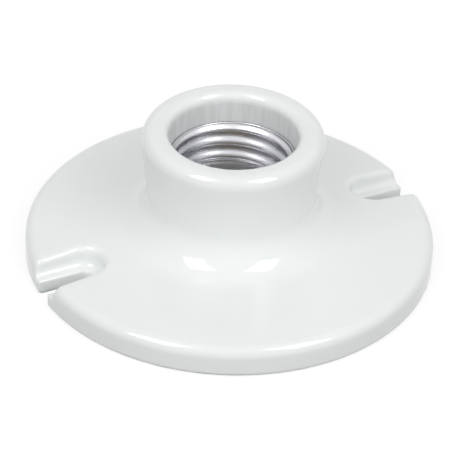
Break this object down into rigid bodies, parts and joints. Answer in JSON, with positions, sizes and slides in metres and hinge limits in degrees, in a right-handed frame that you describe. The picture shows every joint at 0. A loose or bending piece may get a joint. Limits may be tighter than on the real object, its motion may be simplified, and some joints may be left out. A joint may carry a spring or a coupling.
{
  "type": "lamp holder",
  "caption": "Round keyless porcelain ceiling lamp holder: screw shell in a flared neck, two open mounting slots, wire terminals at the back.",
  "frame": {"origin": "centre of the back rim that lies on the ceiling or box cover, on the lamp axis", "axes": "+Z along the lamp axis, from the back out of the mouth; the two mounting slots lie along X"},
  "size_m": [0.0888, 0.0888, 0.0318],
  "materials": {
    "glazed_porcelain": "glossy white glaze over porcelain; back rim and bore are unglazed and matt",
    "nickel_plated_shell": "bright nickel-plated drawn brass",
    "brass_contact": "satin spring brass",
    "brass_terminal": "satin brass",
    "plated_terminal": "nickel plate"
  },
  "bodies": {
    "root": {"porcelain_body": "glazed_porcelain", "screw_shell": "nickel_plated_shell", "centre_contact": "brass_contact", "centre_rivet": "brass_contact", "shell_rivet_neutral": "plated_terminal", "shell_rivet_plain": "plated_terminal", "rivet_washer": "plated_terminal", "hot_terminal_plate": "brass_terminal", "neutral_terminal_plate": "plated_terminal", "hot_terminal_screw": "brass_terminal", "neutral_terminal_screw": "plated_terminal"}
  },
  "joints": []
}
